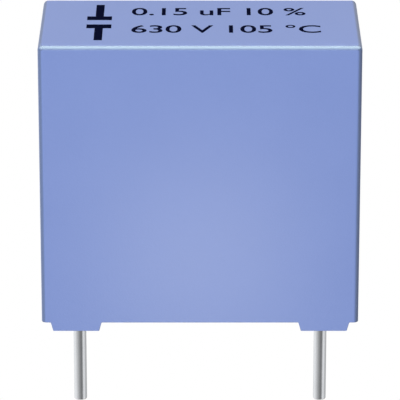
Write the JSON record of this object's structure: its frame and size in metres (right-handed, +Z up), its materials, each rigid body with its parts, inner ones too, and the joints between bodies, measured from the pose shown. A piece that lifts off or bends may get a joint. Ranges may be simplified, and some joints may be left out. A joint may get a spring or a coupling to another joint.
{
  "type": "boxed film capacitor",
  "caption": "Film capacitor in a rectangular moulded plastic box with stand-off feet and round tinned wire leads, sealed underneath with resin, for soldering into a circuit board.",
  "frame": {"origin": "midway between the leads, on the plane of the feet, which is the face of the board that the capacitor stands on", "axes": "+X along the row of leads, +Y from the front face to the back face, +Z up to the closed top"},
  "size_m": [0.0194, 0.0096, 0.0247],
  "materials": {
    "case_plastic": "satin moulded plastic, periwinkle blue",
    "resin": "smooth cast resin, dull blue",
    "film": "metallised plastic film, silvery grey",
    "sprayed_metal": "rough sprayed metal, dull grey",
    "tinned_wire": "bright tin on drawn copper wire"
  },
  "bodies": {
    "root": {"case": "case_plastic", "sealing_resin": "resin", "film_winding": "film", "end_contact_left": "sprayed_metal", "end_contact_right": "sprayed_metal", "lead_left": "tinned_wire", "lead_right": "tinned_wire"}
  },
  "joints": []
}
